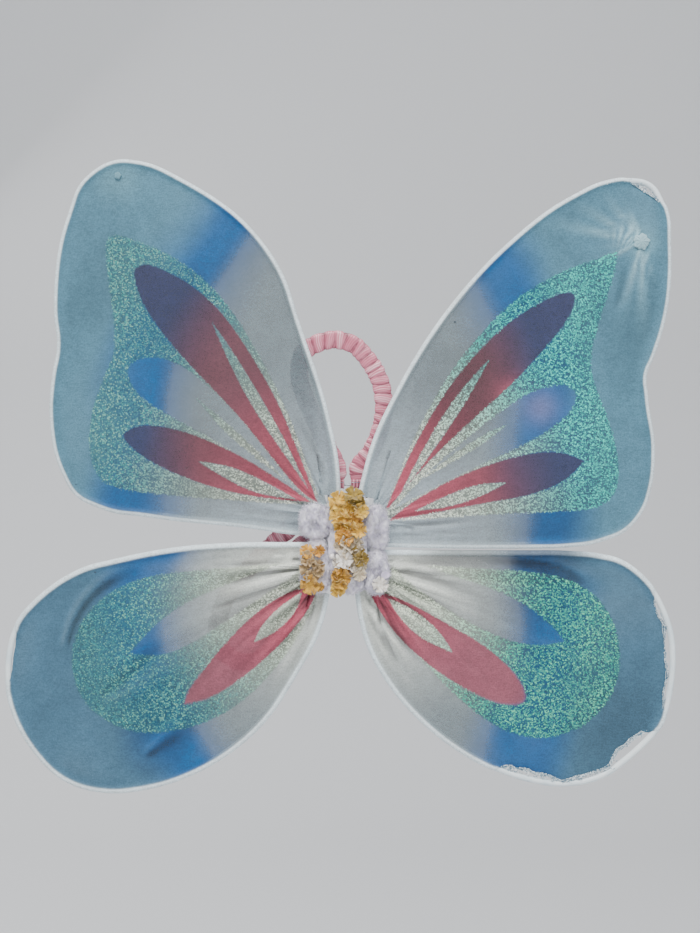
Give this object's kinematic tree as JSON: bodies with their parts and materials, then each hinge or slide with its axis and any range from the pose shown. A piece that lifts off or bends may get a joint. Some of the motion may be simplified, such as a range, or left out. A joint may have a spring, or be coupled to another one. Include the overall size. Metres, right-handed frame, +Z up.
{
  "type": "fairy wings",
  "caption": "Child's four-lobed butterfly dress-up wings: sheathed wire loops under sheer printed nylon, felt-flower hub, two gathered elastic arm loops.",
  "frame": {"origin": "middle of the back pad's face, where the hub rests on the wearer's back", "axes": "+Z up as worn, +Y towards the wearer, -Y out of the decorated side, +X to the right when the decorated side is seen"},
  "size_m": [0.4634, 0.0272, 0.4374],
  "materials": {
    "printed_nylon": "sheer stretched nylon, blue ombre print with pink petals and iridescent glitter",
    "white_sleeving": "satin white tube",
    "steel_wire": "drawn spring wire",
    "white_tape": "matt woven tape",
    "white_felt": "pressed felt",
    "lavender_plush": "short fuzzy plush",
    "gold_felt": "die-cut felt",
    "cream_felt": "die-cut felt",
    "pearl": "pearlescent bead",
    "pink_satin": "gathered satin",
    "white_elastic": "braided elastic"
  },
  "bodies": {
    "hub": {"hub_wire_bundle": "steel_wire", "hub_core_wrap": "white_tape", "back_pad": "white_felt", "hub_felt_backing": "white_felt", "hub_plush_pad": "lavender_plush", "upper_loop_bar": "steel_wire", "lower_loop_bar": "steel_wire", "gold_flower_top_left": "gold_felt", "gold_flower_upper_left": "gold_felt", "gold_flower_crown": "gold_felt", "gold_flower_right": "gold_felt", "gold_flower_middle": "gold_felt", "gold_flower_lower_middle": "gold_felt", "gold_flower_bottom": "gold_felt", "orange_flower": "gold_felt", "olive_flower": "gold_felt", "cream_flower_middle": "cream_felt", "cream_star": "cream_felt", "cream_flower_lower_right": "cream_felt", "pearl_bead": "pearl"},
    "upper_left_wing": {"upper_left_wing_wire": "steel_wire", "upper_left_wing_sleeve": "white_sleeving", "upper_left_wing_sock": "printed_nylon", "upper_left_root_binding": "white_tape", "upper_left_plush_tuft": "lavender_plush", "upper_left_tip_knot": "printed_nylon"},
    "upper_right_wing": {"upper_right_wing_wire": "steel_wire", "upper_right_wing_sleeve": "white_sleeving", "upper_right_wing_sock": "printed_nylon", "upper_right_root_binding": "white_tape", "upper_right_plush_tuft": "lavender_plush", "upper_right_tip_knot": "printed_nylon"},
    "lower_left_wing": {"lower_left_wing_wire": "steel_wire", "lower_left_wing_sleeve": "white_sleeving", "lower_left_wing_sock": "printed_nylon", "lower_left_root_binding": "white_tape", "lower_left_plush_tuft": "lavender_plush", "gold_flower_lower_left": "gold_felt", "yellow_flower_left": "gold_felt", "tan_flower_left": "cream_felt"},
    "lower_right_wing": {"lower_right_wing_wire": "steel_wire", "lower_right_wing_sleeve": "white_sleeving", "lower_right_wing_sock": "printed_nylon", "lower_right_root_binding": "white_tape", "lower_right_plush_tuft": "lavender_plush", "cream_flower_bottom_right": "cream_felt"},
    "upper_strap": {"upper_loop_satin_cover": "pink_satin", "upper_loop_elastic": "white_elastic", "upper_loop_end_eyes": "pink_satin"},
    "lower_strap": {"lower_loop_satin_cover": "pink_satin", "lower_loop_elastic": "white_elastic", "lower_loop_end_eyes": "pink_satin"}
  },
  "joints": [
    {"name": "upper_left_wing_fold", "type": "hinge", "parent": "hub", "child": "upper_left_wing", "pos_m": [-0.013, -0.022, 0], "axis": [0, 0, 1], "range_deg": [0, 50]},
    {"name": "upper_right_wing_fold", "type": "hinge", "parent": "hub", "child": "upper_right_wing", "pos_m": [0.013, -0.022, 0], "axis": [0, 0, -1], "range_deg": [0, 50]},
    {"name": "lower_left_wing_fold", "type": "hinge", "parent": "hub", "child": "lower_left_wing", "pos_m": [-0.013, -0.022, 0], "axis": [0, 0, 1], "range_deg": [0, 50]},
    {"name": "lower_right_wing_fold", "type": "hinge", "parent": "hub", "child": "lower_right_wing", "pos_m": [0.013, -0.022, 0], "axis": [0, 0, -1], "range_deg": [0, 50]},
    {"name": "upper_strap_swing", "type": "hinge", "parent": "hub", "child": "upper_strap", "pos_m": [-0.00025, -0.00315, 0.038], "axis": [-1, 0, 0], "range_deg": [0, 90]},
    {"name": "lower_strap_swing", "type": "hinge", "parent": "hub", "child": "lower_strap", "pos_m": [-0.0257, -0.00315, 0.0111], "axis": [0.6607, 0, -0.7507], "range_deg": [0, 90]}
  ]
}
